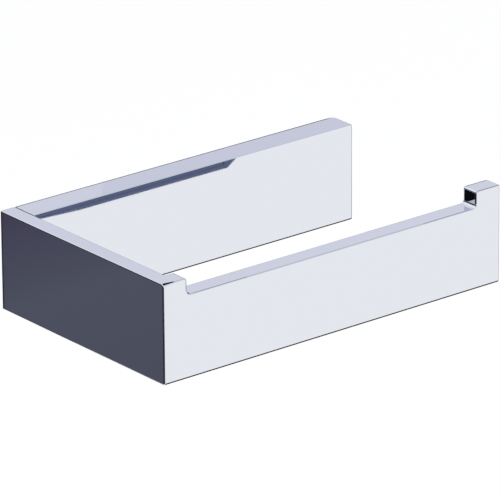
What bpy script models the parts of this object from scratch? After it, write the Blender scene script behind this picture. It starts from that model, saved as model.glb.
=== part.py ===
"""Wall toilet roll holder: three flat bars in a U, open at the right.

The frame is +Z up with the wall as the plane y = 0 and the room towards -Y. The origin is the middle of the
wall bracket's rear face. The side arm is at -X, and the roll goes on from the free end at +X.
"""

import math

import bmesh
import bpy
from mathutils import Matrix, Vector

# Driving dimensions, in metres.
OVERALL_WIDTH = 0.160
OVERALL_DEPTH = 0.098
BAR_HEIGHT = 0.0392
ARM_THICKNESS = 0.0066
FRONT_THICKNESS = 0.0077
PLATE_THICKNESS = 0.0118
EDGE_RADIUS = 0.0005

# The saddle in the front bar's top edge.
LUG_REACH = 0.0043
HOOK_LENGTH = 0.0117
SADDLE_DEPTH = 0.0065
SADDLE_FLOOR_RADIUS = 0.0018
SADDLE_LIP_RADIUS = 0.0013

# Joints between the bars.
MITRE_GAP = 0.00005
SEAM_GAP = 0.0003

# The back plate's walls round its pocket.
PLATE_FACE_WALL = 0.0030
PLATE_RIM_WALL = 0.0030
PLATE_ARM_END_WALL = 0.0040
PLATE_FREE_END_WALL = 0.0035
PLATE_END_RADIUS = 0.0022
POCKET_CORNER_RADIUS = 0.0015

# The wall bracket, a folded channel, and the room that it leaves in the pocket.
BRACKET_SHEET = 0.0020
BRACKET_BEND_RADIUS = 0.0012
BRACKET_CLEARANCE = 0.0005
BRACKET_FACE_ROOM = 0.0010
BRACKET_KEY_ROOM = 0.0082
WALL_SCREW_END_DISTANCE = 0.020
WALL_HOLE_PLAY = 0.0005
WALL_SLOT_TRAVEL = 0.0040

# Wall screws and plugs.
WALL_SCREW_RADIUS = 0.0020
WALL_SCREW_LENGTH = 0.035
WALL_SCREW_TIP = 0.0050
WALL_SCREW_HEAD_RADIUS = 0.0040
WALL_SCREW_HEAD_HEIGHT = 0.0028
CROSS_RECESS_SPAN = 0.0044
CROSS_RECESS_WIDTH = 0.0010
CROSS_RECESS_DEPTH = 0.0015
PLUG_WALL = 0.0007
PLUG_RIB_HEIGHT = 0.0003
PLUG_LENGTH = 0.028
PLUG_DEPTH_IN_WALL = 0.0030
PLUG_COLLAR_LENGTH = 0.0040
PLUG_RIB_PITCH = 0.0030
PLUG_SLOT_WIDTH = 0.0009
PLUG_SLOT_LENGTH = 0.019

# Grub screws in the back plate's underside.
GRUB_END_DISTANCE = 0.012
GRUB_RADIUS = 0.0020
GRUB_RECESS = 0.0003
GRUB_CHAMFER = 0.0004
GRUB_HEX_ACROSS = 0.0020
GRUB_HEX_DEPTH = 0.0015

# Cap screws between the back plate and the arm.
ARM_SCREW_RIM_ROOM = 0.0041
ARM_SCREW_RADIUS = 0.0020
ARM_SCREW_REACH = 0.0035
ARM_SCREW_HEAD_ROOM = 0.0009
ARM_SCREW_HEAD_HEIGHT = 0.0040
ARM_SCREW_HEX_ACROSS = 0.0030
ARM_SCREW_HEX_DEPTH = 0.0020
SCREW_CHAMFER = 0.0004
ARM_HOLE_SPARE = 0.0004

# Clearances and cutters.
SEAT_GAP = 0.0002
THREAD_GAP = 0.0002
CUT_OVERRUN = 0.0010

# Mesh fineness, as counts and angles.
ARC_STEPS = 6
EDGE_STEPS = 3
ROUND_STEPS = 32
HEX_STEPS = 6
SHARP_ANGLE = math.radians(30)

# Faces of the bars in the part's frame.
PLATE_HALF_WIDTH = (OVERALL_WIDTH - ARM_THICKNESS) / 2
ARM_INNER_X = -PLATE_HALF_WIDTH
ARM_OUTER_X = ARM_INNER_X - ARM_THICKNESS
FREE_END_X = ARM_OUTER_X + OVERALL_WIDTH
FRONT_Y = -OVERALL_DEPTH
FRONT_REAR_Y = FRONT_Y + FRONT_THICKNESS
PLATE_FRONT_Y = -PLATE_THICKNESS
TOP_Z = BAR_HEIGHT / 2
BOTTOM_Z = -BAR_HEIGHT / 2
SADDLE_Z = TOP_Z - SADDLE_DEPTH
SADDLE_LEFT_X = ARM_INNER_X + LUG_REACH
SADDLE_RIGHT_X = FREE_END_X - HOOK_LENGTH

# The pocket, with the bracket and the screws in it.
PLATE_LEFT_X = ARM_INNER_X + SEAM_GAP
POCKET_LEFT_X = PLATE_LEFT_X + PLATE_ARM_END_WALL
POCKET_RIGHT_X = FREE_END_X - PLATE_FREE_END_WALL
POCKET_FRONT_Y = PLATE_FRONT_Y + PLATE_FACE_WALL
POCKET_TOP_Z = TOP_Z - PLATE_RIM_WALL
ARM_SCREW_Y = POCKET_FRONT_Y / 2
ARM_SCREW_HEAD_RADIUS = -ARM_SCREW_Y - ARM_SCREW_HEAD_ROOM
ARM_SCREW_SPACING = 2 * (POCKET_TOP_Z - ARM_SCREW_RIM_ROOM - ARM_SCREW_HEAD_RADIUS)
ARM_SCREW_LENGTH = SEAT_GAP + PLATE_ARM_END_WALL + SEAM_GAP + ARM_SCREW_REACH
ARM_SCREW_HEAD_X = POCKET_LEFT_X + SEAT_GAP + ARM_SCREW_HEAD_HEIGHT
BRACKET_LENGTH = -2 * (ARM_SCREW_HEAD_X + BRACKET_KEY_ROOM)
BRACKET_DEPTH = -POCKET_FRONT_Y - BRACKET_FACE_ROOM
BRACKET_TOP_Z = POCKET_TOP_Z - BRACKET_CLEARANCE
WEB_FRONT_Y = -BRACKET_SHEET
WALL_SCREW_SPACING = BRACKET_LENGTH - 2 * WALL_SCREW_END_DISTANCE
WALL_HOLE_RADIUS = WALL_SCREW_RADIUS + WALL_HOLE_PLAY
PLUG_BORE_RADIUS = WALL_SCREW_RADIUS + THREAD_GAP
PLUG_ROOT_RADIUS = PLUG_BORE_RADIUS + PLUG_WALL
PLUG_RADIUS = PLUG_ROOT_RADIUS + PLUG_RIB_HEIGHT
GRUB_Y = -(BRACKET_SHEET + BRACKET_DEPTH) / 2
GRUB_SPACING = BRACKET_LENGTH - 2 * GRUB_END_DISTANCE
GRUB_TOP_Z = -BRACKET_TOP_Z - SEAT_GAP
GRUB_LENGTH = GRUB_TOP_Z - BOTTOM_Z - GRUB_RECESS


def material(name, colour, roughness):
    made = bpy.data.materials.new(name)
    made.use_nodes = True
    shader = made.node_tree.nodes["Principled BSDF"]
    shader.inputs["Base Color"].default_value = (*colour, 1.0)
    shader.inputs["Roughness"].default_value = roughness
    shader.inputs["Metallic"].default_value = 1.0
    made.diffuse_color = (*colour, 1.0)
    return made


def plastic(name, colour, roughness):
    made = material(name, colour, roughness)
    made.node_tree.nodes["Principled BSDF"].inputs["Metallic"].default_value = 0.0
    return made


def add_object(name, bm, surface):
    """One named object from a closed bmesh, shaded smooth across its round faces."""
    bmesh.ops.recalc_face_normals(bm, faces=bm.faces[:])
    mesh = bpy.data.meshes.new(name)
    bm.to_mesh(mesh)
    bm.free()
    mesh.materials.append(surface)
    mesh.shade_smooth()
    mesh.set_sharp_from_angle(angle=SHARP_ANGLE)
    made = bpy.data.objects.new(name, mesh)
    bpy.context.scene.collection.objects.link(made)
    return made


def cut(target, name, bm, at=(0.0, 0.0, 0.0)):
    """Cuts a closed bmesh, moved by at, out of the target with a Boolean modifier."""
    bmesh.ops.recalc_face_normals(bm, faces=bm.faces[:])
    mesh = bpy.data.meshes.new(name)
    bm.to_mesh(mesh)
    bm.free()
    cutter = bpy.data.objects.new(name, mesh)
    cutter.location = at
    cutter.hide_render = True
    cutter.display_type = "WIRE"
    bpy.context.scene.collection.objects.link(cutter)
    boolean = target.modifiers.new(name, "BOOLEAN")
    boolean.operation = "DIFFERENCE"
    boolean.solver = "EXACT"
    boolean.object = cutter


def round_sharp_edges(bm, radius):
    """Rounds every edge whose faces meet at more than the sharp angle."""
    sharp = [edge for edge in bm.edges if edge.calc_face_angle(0.0) > SHARP_ANGLE]
    ends = {vert for edge in sharp for vert in edge.verts}
    bmesh.ops.bevel(
        bm,
        geom=sharp + list(ends),
        offset=radius,
        offset_type="OFFSET",
        segments=EDGE_STEPS,
        profile=0.5,
        affect="EDGES",
        clamp_overlap=True,
    )


def arc(centre, radius, start, end):
    """Points of an arc in a plane, from one angle to another, both ends included."""
    points = []
    for step in range(ARC_STEPS + 1):
        angle = start + (end - start) * step / ARC_STEPS
        points.append((centre[0] + radius * math.cos(angle), centre[1] + radius * math.sin(angle)))
    return points


def prism(outline, place, low, high):
    """A closed solid: the outline's points swept from low to high, where place(u, v, w) gives a point."""
    bm = bmesh.new()
    first = [bm.verts.new(place(u, v, low)) for u, v in outline]
    last = [bm.verts.new(place(u, v, high)) for u, v in outline]
    bm.faces.new(first[::-1])
    bm.faces.new(last)
    for index in range(len(outline)):
        after = (index + 1) % len(outline)
        bm.faces.new((first[index], first[after], last[after], last[index]))
    bmesh.ops.recalc_face_normals(bm, faces=bm.faces[:])
    return bm


def along_x(u, v, w):
    return (w, u, v)


def along_y(u, v, w):
    return (u, w, v)


def along_z(u, v, w):
    return (u, v, w)


def rounded_rectangle(half_u, half_v, radius):
    """A rectangle about the origin with its four corners rounded."""
    points = []
    quarter = math.pi / 2
    corners = ((1, 1), (-1, 1), (-1, -1), (1, -1))
    for turn, (sign_u, sign_v) in enumerate(corners):
        centre = (sign_u * (half_u - radius), sign_v * (half_v - radius))
        points += arc(centre, radius, turn * quarter, (turn + 1) * quarter)
    return points


def polygon(count, radius):
    turn = 2 * math.pi / count
    return [(radius * math.cos(turn * k), radius * math.sin(turn * k)) for k in range(count)]


def turned(profile, steps):
    """A closed solid turned about Z, from (radius, z) points that run from one end to the other."""
    bm = bmesh.new()
    rings = []
    for radius, z in profile:
        if radius == 0:
            rings.append([bm.verts.new((0.0, 0.0, z))] * steps)
            continue
        points = polygon(steps, radius)
        rings.append([bm.verts.new((x, y, z)) for x, y in points])
    for ring, following in zip(rings, rings[1:]):
        for k in range(steps):
            corners = [ring[k], ring[(k + 1) % steps], following[(k + 1) % steps], following[k]]
            bm.faces.new(list(dict.fromkeys(corners)))
    for ring in (rings[0], rings[-1]):
        if ring[0] is not ring[1]:
            bm.faces.new(ring)
    bmesh.ops.recalc_face_normals(bm, faces=bm.faces[:])
    return bm


def round_hole(radius, depth):
    """A drill for a hole that starts at z = 0, with some overrun before it."""
    return prism(polygon(ROUND_STEPS, radius), along_z, -CUT_OVERRUN, depth)


def moved(bm, at, axis="Z"):
    """Turns a solid's Z axis onto the named axis and moves it to a point."""
    turns = {
        "Z": Matrix.Identity(4),
        "-Z": Matrix.Rotation(math.pi, 4, "X"),
        "X": Matrix.Rotation(math.pi / 2, 4, "Y"),
        "-X": Matrix.Rotation(-math.pi / 2, 4, "Y"),
        "Y": Matrix.Rotation(-math.pi / 2, 4, "X"),
    }
    bmesh.ops.transform(bm, matrix=Matrix.Translation(at) @ turns[axis], verts=bm.verts[:])
    return bm


def arm_screw_places():
    return (("arm_screw_upper", ARM_SCREW_SPACING / 2), ("arm_screw_lower", -ARM_SCREW_SPACING / 2))


def two_sides(name, spacing):
    return ((f"{name}_left", -spacing / 2), (f"{name}_right", spacing / 2))


def front_outline():
    """The front bar's face as (x, z) points, anticlockwise from its bottom left corner."""
    lip, floor = SADDLE_LIP_RADIUS, SADDLE_FLOOR_RADIUS
    half = math.pi / 2
    points = [(ARM_OUTER_X, BOTTOM_Z), (FREE_END_X, BOTTOM_Z), (FREE_END_X, TOP_Z)]
    points += arc((SADDLE_RIGHT_X + lip, TOP_Z - lip), lip, half, 2 * half)
    points += arc((SADDLE_RIGHT_X - floor, SADDLE_Z + floor), floor, 0.0, -half)
    points += arc((SADDLE_LEFT_X + floor, SADDLE_Z + floor), floor, -half, -2 * half)
    points += arc((SADDLE_LEFT_X - lip, TOP_Z - lip), lip, 0.0, half)
    points.append((ARM_OUTER_X, TOP_Z))
    return points


def arm_and_front():
    """The arm and the front bar as one L, which the mitre then parts."""
    outline = front_outline()
    bm = bmesh.new()
    front = [bm.verts.new((x, FRONT_Y, z)) for x, z in outline]
    rear = [bm.verts.new((max(x, ARM_INNER_X), FRONT_REAR_Y, z)) for x, z in outline]
    outer_low, outer_high, inner_low, inner_high = [
        bm.verts.new((x, 0.0, z)) for x in (ARM_OUTER_X, ARM_INNER_X) for z in (BOTTOM_Z, TOP_Z)
    ]
    bm.faces.new(front)
    bm.faces.new(rear[::-1])
    for index in range(1, len(outline) - 2):
        bm.faces.new((front[index], rear[index], rear[index + 1], front[index + 1]))
    bm.faces.new((front[0], outer_low, inner_low, rear[0], rear[1], front[1]))
    bm.faces.new((front[-2], rear[-2], rear[-1], inner_high, outer_high, front[-1]))
    bm.faces.new((front[-1], outer_high, outer_low, front[0]))
    bm.faces.new((rear[0], inner_low, inner_high, rear[-1]))
    bm.faces.new((inner_low, outer_low, outer_high, inner_high))
    bmesh.ops.recalc_face_normals(bm, faces=bm.faces[:])
    round_sharp_edges(bm, EDGE_RADIUS)
    return bm


def mitred(bm, keep_front):
    """Keeps the part of the L on one side of the mitre, half the joint's gap away from it."""
    across = Vector((FRONT_THICKNESS, -ARM_THICKNESS, 0.0)).normalized()
    side = 1 if keep_front else -1
    corner = Vector((ARM_OUTER_X, FRONT_Y, 0.0)) + across * side * MITRE_GAP / 2
    parts = bm.verts[:] + bm.edges[:] + bm.faces[:]
    bmesh.ops.bisect_plane(
        bm, geom=parts, plane_co=corner, plane_no=across, clear_inner=keep_front, clear_outer=not keep_front
    )
    bmesh.ops.holes_fill(bm, edges=[edge for edge in bm.edges if edge.is_boundary])
    return bm


def make_side_arm(surface):
    arm = add_object("side_arm", mitred(arm_and_front(), keep_front=False), surface)
    for name, z in arm_screw_places():
        hole = round_hole(ARM_SCREW_RADIUS + THREAD_GAP, ARM_SCREW_REACH + ARM_HOLE_SPARE)
        cut(arm, f"cut_{name}_thread", moved(hole, (ARM_INNER_X, ARM_SCREW_Y, z), "-X"))
    return arm


def make_front_bar(surface):
    return add_object("front_bar", mitred(arm_and_front(), keep_front=True), surface)


def make_back_plate(surface):
    radius = PLATE_END_RADIUS
    outline = [(PLATE_LEFT_X, 0.0), (PLATE_LEFT_X, PLATE_FRONT_Y), (FREE_END_X, PLATE_FRONT_Y)]
    outline += arc((FREE_END_X - radius, -radius), radius, 0.0, math.pi / 2)
    body = prism(outline, along_z, BOTTOM_Z, TOP_Z)
    round_sharp_edges(body, EDGE_RADIUS)
    plate = add_object("back_plate", body, surface)
    length = POCKET_RIGHT_X - POCKET_LEFT_X
    opening = rounded_rectangle(length / 2, POCKET_TOP_Z, POCKET_CORNER_RADIUS)
    pocket = prism(opening, along_y, POCKET_FRONT_Y, CUT_OVERRUN)
    cut(plate, "cut_pocket", pocket, ((POCKET_LEFT_X + POCKET_RIGHT_X) / 2, 0.0, 0.0))
    for name, z in arm_screw_places():
        hole = round_hole(ARM_SCREW_RADIUS + THREAD_GAP, PLATE_ARM_END_WALL + CUT_OVERRUN)
        cut(plate, f"cut_{name}_clearance", moved(hole, (POCKET_LEFT_X, ARM_SCREW_Y, z), "-X"))
    for name, x in two_sides("grub_screw", GRUB_SPACING):
        hole = round_hole(GRUB_RADIUS + THREAD_GAP, PLATE_RIM_WALL + CUT_OVERRUN)
        cut(plate, f"cut_{name}", moved(hole, (x, GRUB_Y, -POCKET_TOP_Z), "-Z"))
    return plate


def bracket_section():
    """The channel's section as (y, z) points: web against the wall, flanges towards the room."""
    half = math.pi / 2
    outer = BRACKET_BEND_RADIUS + BRACKET_SHEET
    inner = BRACKET_BEND_RADIUS
    web, top = WEB_FRONT_Y, BRACKET_TOP_Z
    low_centre = (-outer, -top + outer)
    high_centre = (-outer, top - outer)
    points = [(-BRACKET_DEPTH, -top)]
    points += arc(low_centre, outer, -half, 0.0)
    points += arc(high_centre, outer, 0.0, half)
    points += [(-BRACKET_DEPTH, top), (-BRACKET_DEPTH, top - BRACKET_SHEET)]
    points += arc((web - inner, top - BRACKET_SHEET - inner), inner, half, 0.0)
    points += arc((web - inner, -top + BRACKET_SHEET + inner), inner, 0.0, -half)
    points.append((-BRACKET_DEPTH, -top + BRACKET_SHEET))
    return points


def slot_outline(radius, travel):
    """A round-ended slot about the origin, or a circle when it has no travel."""
    if travel == 0:
        return polygon(ROUND_STEPS, radius)
    half = math.pi / 2
    right = arc((travel / 2, 0.0), radius, -half, half)
    left = arc((-travel / 2, 0.0), radius, half, 3 * half)
    return right + left


def make_wall_bracket(surface):
    channel = prism(bracket_section(), along_x, -BRACKET_LENGTH / 2, BRACKET_LENGTH / 2)
    bracket = add_object("wall_bracket", channel, surface)
    travels = (0.0, WALL_SLOT_TRAVEL)
    for (name, x), travel in zip(two_sides("wall_screw", WALL_SCREW_SPACING), travels):
        slot = slot_outline(WALL_HOLE_RADIUS, travel)
        hole = prism(slot, along_y, WEB_FRONT_Y - CUT_OVERRUN, CUT_OVERRUN)
        cut(bracket, f"cut_{name}_hole", hole, (x, 0.0, 0.0))
    return bracket


def make_wall_screw(name, x, surface):
    """A pan head screw: its head bears on the bracket's web, and its point is in the wall."""
    head, shank = WALL_SCREW_HEAD_RADIUS, WALL_SCREW_RADIUS
    crown = WALL_SCREW_HEAD_HEIGHT / 2
    rim = head - crown
    profile = [(0.0, -WALL_SCREW_HEAD_HEIGHT)]
    for radius, z in arc((rim, -crown), crown, -math.pi / 2, 0.0):
        profile.append((radius, z))
    profile += [
        (head, 0.0),
        (shank, 0.0),
        (shank, WALL_SCREW_LENGTH - WALL_SCREW_TIP),
        (0.0, WALL_SCREW_LENGTH),
    ]
    bearing = WEB_FRONT_Y - SEAT_GAP
    screw = add_object(name, moved(turned(profile, ROUND_STEPS), (x, bearing, 0.0), "Y"), surface)
    span, width = CROSS_RECESS_SPAN / 2, CROSS_RECESS_WIDTH / 2
    cross = [
        (span, -width), (span, width), (width, width), (width, span), (-width, span), (-width, width),
        (-span, width), (-span, -width), (-width, -width), (-width, -span), (width, -span), (width, -width),
    ]
    crest = -WALL_SCREW_HEAD_HEIGHT
    recess = prism(cross, along_y, crest - CUT_OVERRUN, crest + CROSS_RECESS_DEPTH)
    cut(screw, f"cut_{name}_recess", recess, (x, bearing, 0.0))
    return screw


def make_wall_plug(name, x, surface):
    """A ribbed plug round the screw's shank, split lengthwise from its inner end."""
    body, root = PLUG_RADIUS, PLUG_ROOT_RADIUS
    profile = [(body, 0.0), (body, PLUG_COLLAR_LENGTH)]
    ribs = int((PLUG_LENGTH - PLUG_COLLAR_LENGTH) / PLUG_RIB_PITCH)
    for rib in range(ribs):
        start = PLUG_COLLAR_LENGTH + rib * PLUG_RIB_PITCH
        profile += [(root, start), (body, start + PLUG_RIB_PITCH)]
    profile.append((root, PLUG_LENGTH))
    plug = add_object(name, moved(turned(profile, ROUND_STEPS), (x, PLUG_DEPTH_IN_WALL, 0.0), "Y"), surface)
    bore = round_hole(PLUG_BORE_RADIUS, PLUG_LENGTH + CUT_OVERRUN)
    cut(plug, f"cut_{name}_bore", moved(bore, (x, PLUG_DEPTH_IN_WALL, 0.0), "Y"))
    width, reach = PLUG_SLOT_WIDTH / 2, body + CUT_OVERRUN
    split = prism(
        [(-width, -reach), (width, -reach), (width, reach), (-width, reach)],
        along_y,
        PLUG_LENGTH - PLUG_SLOT_LENGTH,
        PLUG_LENGTH + CUT_OVERRUN,
    )
    cut(plug, f"cut_{name}_split", split, (x, PLUG_DEPTH_IN_WALL, 0.0))
    return plug


def hexagon(across):
    return polygon(HEX_STEPS, across / math.sqrt(3))


def make_grub_screw(name, x, surface):
    """A socket set screw that points up at the bracket's lower flange."""
    radius, tip = GRUB_RADIUS, GRUB_RADIUS - GRUB_CHAMFER
    profile = [
        (tip, 0.0),
        (radius, GRUB_CHAMFER),
        (radius, GRUB_LENGTH - GRUB_CHAMFER),
        (tip, GRUB_LENGTH),
    ]
    low = GRUB_TOP_Z - GRUB_LENGTH
    screw = add_object(name, moved(turned(profile, ROUND_STEPS), (x, GRUB_Y, low)), surface)
    socket = prism(hexagon(GRUB_HEX_ACROSS), along_z, -CUT_OVERRUN, GRUB_HEX_DEPTH)
    cut(screw, f"cut_{name}_socket", socket, (x, GRUB_Y, low))
    return screw


def make_arm_screw(name, z, surface):
    """A socket cap screw whose head is in the pocket and whose thread is in the arm."""
    head, shank, chamfer = ARM_SCREW_HEAD_RADIUS, ARM_SCREW_RADIUS, SCREW_CHAMFER
    profile = [
        (head - chamfer, -ARM_SCREW_HEAD_HEIGHT),
        (head, -ARM_SCREW_HEAD_HEIGHT + chamfer),
        (head, 0.0),
        (shank, 0.0),
        (shank, ARM_SCREW_LENGTH - chamfer),
        (shank - chamfer, ARM_SCREW_LENGTH),
    ]
    place = (POCKET_LEFT_X + SEAT_GAP, ARM_SCREW_Y, z)
    screw = add_object(name, moved(turned(profile, ROUND_STEPS), place, "-X"), surface)
    top = -ARM_SCREW_HEAD_HEIGHT
    socket = prism(hexagon(ARM_SCREW_HEX_ACROSS), along_z, top - CUT_OVERRUN, top + ARM_SCREW_HEX_DEPTH)
    cut(screw, f"cut_{name}_socket", moved(socket, place, "-X"))
    return screw


def main():
    for old in list(bpy.data.objects):
        bpy.data.objects.remove(old, do_unlink=True)
    chrome = material("chrome_plate", (0.78, 0.79, 0.82), 0.03)
    zinc = material("zinc_plated_steel", (0.62, 0.63, 0.62), 0.35)
    stainless = material("stainless_steel", (0.55, 0.56, 0.57), 0.25)
    nylon = plastic("grey_nylon", (0.52, 0.53, 0.54), 0.55)
    make_side_arm(chrome)
    make_front_bar(chrome)
    make_back_plate(chrome)
    make_wall_bracket(zinc)
    for name, x in two_sides("wall_screw", WALL_SCREW_SPACING):
        make_wall_screw(name, x, zinc)
    for name, x in two_sides("wall_plug", WALL_SCREW_SPACING):
        make_wall_plug(name, x, nylon)
    for name, x in two_sides("grub_screw", GRUB_SPACING):
        make_grub_screw(name, x, stainless)
    for name, z in arm_screw_places():
        make_arm_screw(name, z, stainless)


main()
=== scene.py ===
import math
from collections import namedtuple

import bmesh
import bpy
from mathutils import Matrix, Vector


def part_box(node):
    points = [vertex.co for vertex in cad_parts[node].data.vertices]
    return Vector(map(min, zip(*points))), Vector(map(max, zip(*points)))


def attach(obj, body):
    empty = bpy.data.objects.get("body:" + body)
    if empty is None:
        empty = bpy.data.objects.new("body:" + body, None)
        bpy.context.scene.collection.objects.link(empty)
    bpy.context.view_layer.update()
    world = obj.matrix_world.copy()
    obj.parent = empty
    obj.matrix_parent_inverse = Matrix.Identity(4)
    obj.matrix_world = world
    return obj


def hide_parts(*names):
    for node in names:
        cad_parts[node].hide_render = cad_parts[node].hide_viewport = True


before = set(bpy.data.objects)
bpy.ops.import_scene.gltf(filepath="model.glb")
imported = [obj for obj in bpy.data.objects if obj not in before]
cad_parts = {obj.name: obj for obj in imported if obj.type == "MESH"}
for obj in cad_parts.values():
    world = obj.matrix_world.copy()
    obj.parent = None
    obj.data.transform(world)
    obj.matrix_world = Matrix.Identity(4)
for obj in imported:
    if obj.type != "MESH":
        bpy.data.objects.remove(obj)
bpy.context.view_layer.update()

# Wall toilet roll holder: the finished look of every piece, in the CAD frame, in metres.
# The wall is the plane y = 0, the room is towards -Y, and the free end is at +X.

# Places that come from the frame.
ARM_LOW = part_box("side_arm")[0]
FRONT_LOW, FRONT_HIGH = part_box("front_bar")
PLATE_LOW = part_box("back_plate")[0]
BRACKET_LOW, BRACKET_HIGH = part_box("wall_bracket")
ARM_SCREWS = ("arm_screw_upper", "arm_screw_lower")
GRUB_SCREWS = ("grub_screw_left", "grub_screw_right")

ARM_OUTER_X = ARM_LOW.x
FREE_END_X = FRONT_HIGH.x
FRONT_Y = FRONT_LOW.y
BOTTOM_Z = FRONT_LOW.z
TOP_Z = FRONT_HIGH.z
PLATE_LEFT_X = PLATE_LOW.x
PLATE_FRONT_Y = PLATE_LOW.y

# Polished bars. A box's inner side takes in the rounded corner, so the thicknesses are named here.
ARM_THICKNESS = 0.0066
FRONT_THICKNESS = 0.0077
ARM_INNER_X = ARM_OUTER_X + ARM_THICKNESS
FRONT_REAR_Y = FRONT_Y + FRONT_THICKNESS
LUG_REACH = 0.0043
HOOK_LENGTH = 0.0117
SADDLE_DEPTH = 0.0065
SADDLE_Z = TOP_Z - SADDLE_DEPTH
SADDLE_LEFT_X = ARM_INNER_X + LUG_REACH
SADDLE_RIGHT_X = FREE_END_X - HOOK_LENGTH
LUG_LIP_RADIUS = 0.0013
LUG_FLOOR_RADIUS = 0.0018
HOOK_LIP_RADIUS = 0.0010
HOOK_FLOOR_RADIUS = 0.0013
PLATE_END_RADIUS = 0.0022
MITRE_GAP = 0.00001

# Rounded edges of the bars. The widest one is what the others are shares of, and an edge that
# rises less than the least upright length belongs to the saddle.
EDGE_STEPS = 6
WIDEST_RADIUS = 0.0015
LEAST_UPRIGHT_LENGTH = 0.010
EDGE_RADIUS = 0.0005
CORNER_RADIUS = 0.0007
SADDLE_EDGE_RADIUS = 0.0010
HOOK_CORNER_RADIUS = 0.0013
LUG_CORNER_RADIUS = 0.0015
LUG_CORNER_REACH = 0.0060
LUG_CORNER_PARTS = 6
BAR_LOWER_RADIUS = 0.0010
REAR_EDGE_RADIUS = 0.00015
PLATE_UPPER_RADIUS = 0.00025
PLATE_LOWER_RADIUS = 0.0008
SEAM_EDGE_RADIUS = 0.00028
ROLL_OFF_REACH = 0.0010
ROLL_OFF_HEIGHT = HOOK_LIP_RADIUS
ROLL_OFF_DROP = 0.0002
ROLL_OFF_POWER = 1.2
ROLL_OFF_STEPS = 5

# Pocket in the back plate.
FACE_WALL = 0.0030
RIM_WALL = 0.0030
ARM_END_WALL = 0.0040
FREE_END_WALL = 0.0035
POCKET_CORNER_RADIUS = 0.0015
POCKET_EDGE = 0.00025
POCKET_LEFT_X = PLATE_LEFT_X + ARM_END_WALL
POCKET_RIGHT_X = FREE_END_X - FREE_END_WALL
POCKET_FRONT_Y = PLATE_FRONT_Y + FACE_WALL
POCKET_TOP_Z = TOP_Z - RIM_WALL

# Folded wall bracket.
SHEET = 0.0020
BEND_RADIUS = 0.0012
SHEARED_EDGE = 0.00018
WALL_HOLE_RADIUS = 0.0025
WALL_SLOT_TRAVEL = 0.0040

# Screws and plugs.
THREAD_GAP = 0.0002
SMALL_EDGE = 0.00012
WALL_SCREW_RADIUS = 0.0020
WALL_SCREW_ROOT_RADIUS = 0.00135
WALL_SCREW_NECK_SHARE = 0.86
WALL_SCREW_NECK_LENGTH = 0.0045
WALL_SCREW_TIP = 0.0050
WALL_SCREW_LEAST_TIP_SHARE = 0.03
WALL_SCREW_PITCH = 0.0018
WALL_SCREW_HEAD_HEIGHT = 0.0028
WALL_SCREW_CROWN_STEPS = 8
CROSS_RECESS_SPAN = 0.0044
CROSS_RECESS_WIDTH = 0.0010
CROSS_RECESS_DEPTH = 0.0015
PLUG_ROOT_RADIUS = 0.0029
PLUG_COLLAR_LENGTH = 0.0040
PLUG_RIB_PITCH = 0.0030
PLUG_RIB_FLAT_SHARE = 0.35
PLUG_SLOT_WIDTH = 0.0009
PLUG_SLOT_LENGTH = 0.019
MACHINE_PITCH = 0.0007
MACHINE_THREAD_DEPTH_SHARE = 0.6
GRUB_RADIUS = 0.0020
GRUB_HEX_ACROSS = 0.0020
GRUB_HEX_DEPTH = 0.0015
ARM_SCREW_RADIUS = 0.0020
ARM_SCREW_HEAD_HEIGHT = 0.0040
ARM_SCREW_HEX_ACROSS = 0.0030
ARM_SCREW_HEX_DEPTH = 0.0020
ARM_SCREW_NECK_LENGTH = 0.0016
ARM_SCREW_RUN_OUT = 0.0002
ARM_SCREW_HEAD_CHAMFER = 0.00036
KNURL_COUNT = 36
KNURL_DEPTH = 0.00012
KNURL_START = 0.00072
KNURL_END = 0.00048
POINTS_PER_KNURL = 4

# A helical thread: its radii, its pitch, how finely it is drawn, how much of it is flat, and the
# length over which it fades in and out.
Thread = namedtuple("Thread", "crest root pitch rows_per_pitch flat_share lead_in")
WALL_THREAD = Thread(
    crest=WALL_SCREW_RADIUS,
    root=WALL_SCREW_ROOT_RADIUS,
    pitch=WALL_SCREW_PITCH,
    rows_per_pitch=14,
    flat_share=0.22,
    lead_in=WALL_SCREW_PITCH,
)

# Floor.
FLOOR_Z = -0.25
FLOOR_SIZE = 8.0
FLOOR_COLOUR = (0.88, 0.88, 0.89, 1.0)
FLOOR_ROUGHNESS = 0.9
FLOOR_GLOW_SHARE = 0.8
MIRRORED_FLOOR_LEVEL = 0.945

# What the chrome mirrors: colours, and colours that change with height in (height, colour) stops.
# The backdrop is what the camera sees beyond the floor.
BACKDROP_TONE = (0.8, 0.8, 0.8)
DARK_TONE = (0.030, 0.031, 0.040)
BLACK_TONE = (0.004, 0.004, 0.006)
SHADOW_TONE = (0.112, 0.135, 0.226)
SKY_TONE = (0.72, 0.74, 0.83)
SPOT_BLACK = (0.02, 0.02, 0.02)
SPOT_WHITE = (1.0, 1.0, 1.0)
SLATE_STOPS = (
    (-0.17, (0.088, 0.092, 0.125)),
    (-0.12, (0.092, 0.098, 0.131)),
    (-0.08, (0.066, 0.064, 0.100)),
    (-0.05, (0.020, 0.021, 0.030)),
)
BLUE_STOPS = (
    (-0.25, (0.140, 0.166, 0.261)),
    (-0.18, (0.140, 0.166, 0.261)),
    (-0.10, (0.030, 0.034, 0.050)),
)
HORIZON_STOPS = (
    (0.14, (0.672, 0.694, 0.797)),
    (0.20, (0.672, 0.694, 0.797)),
    (0.235, (0.735, 0.753, 0.840)),
    (0.28, SKY_TONE),
)

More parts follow.
